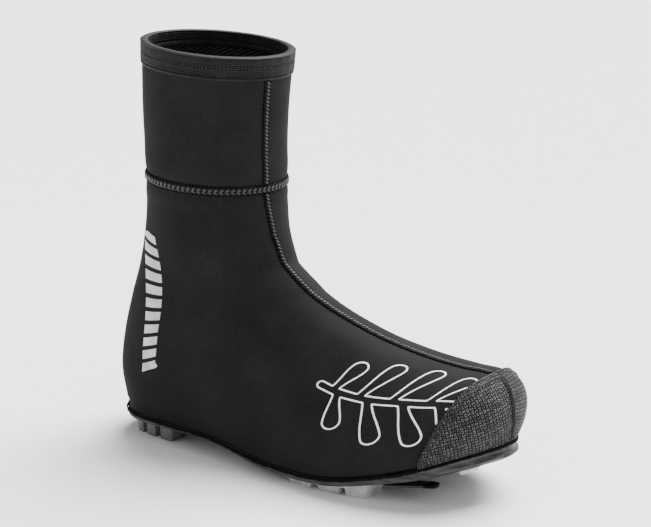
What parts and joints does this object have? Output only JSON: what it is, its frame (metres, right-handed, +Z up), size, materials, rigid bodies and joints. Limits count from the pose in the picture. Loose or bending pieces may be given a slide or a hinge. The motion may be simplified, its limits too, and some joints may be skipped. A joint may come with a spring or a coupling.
{
  "type": "cycling overshoe",
  "caption": "Pull-on winter cycling overshoe for the right foot: a tall closed neoprene upper with a bound collar, a reinforced toe cap, a dished rubber sole and a lugged tread.",
  "frame": {"origin": "centre of the bounding box in plan, on the plane that the heel and ball lugs stand on", "axes": "+X from heel to toe, +Y towards the inner side of the foot, +Z up"},
  "size_m": [0.2978, 0.1098, 0.2727],
  "materials": {
    "neoprene": "matt brushed nap over neoprene",
    "toe_weave": "coarse basket weave, slightly shiny threads",
    "elastic": "ribbed elastic",
    "seam_tape": "overlocked thread",
    "sole_rubber": "satin, slightly wrinkled",
    "lug_rubber": "matt"
  },
  "bodies": {
    "root": {"upper": "neoprene", "toe_cap": "toe_weave", "collar_binding": "elastic", "ankle_seam": "seam_tape", "front_seam_cuff": "seam_tape", "front_seam_instep": "seam_tape", "edge_tape": "seam_tape", "sole": "sole_rubber", "heel_tread": "lug_rubber", "ball_tread_outer": "lug_rubber", "ball_tread_inner": "lug_rubber", "toe_tread": "lug_rubber"}
  },
  "joints": []
}
